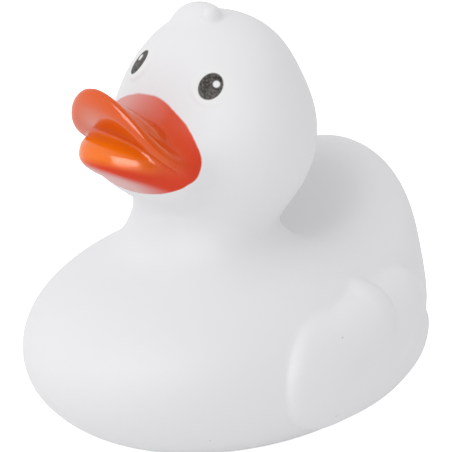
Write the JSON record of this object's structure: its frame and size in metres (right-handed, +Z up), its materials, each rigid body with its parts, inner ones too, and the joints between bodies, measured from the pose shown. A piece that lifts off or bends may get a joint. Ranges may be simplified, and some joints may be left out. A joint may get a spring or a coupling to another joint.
{
  "type": "toy duck",
  "caption": "Squeezable hollow bath duck moulded in one piece from soft vinyl, with a painted bill and eyes, raised wings, a flat base to stand on and a small vent.",
  "frame": {"origin": "on the flat base, under the centre of the bounding box", "axes": "+Z up from the base, -Y the way the bill points, +X the duck's left side"},
  "size_m": [0.071, 0.0912, 0.0871],
  "materials": {
    "white_vinyl": "soft matt white vinyl, with glossy orange paint on the bill and black and white paint on the eyes"
  },
  "bodies": {
    "root": {"duck_body": "white_vinyl"}
  },
  "joints": []
}
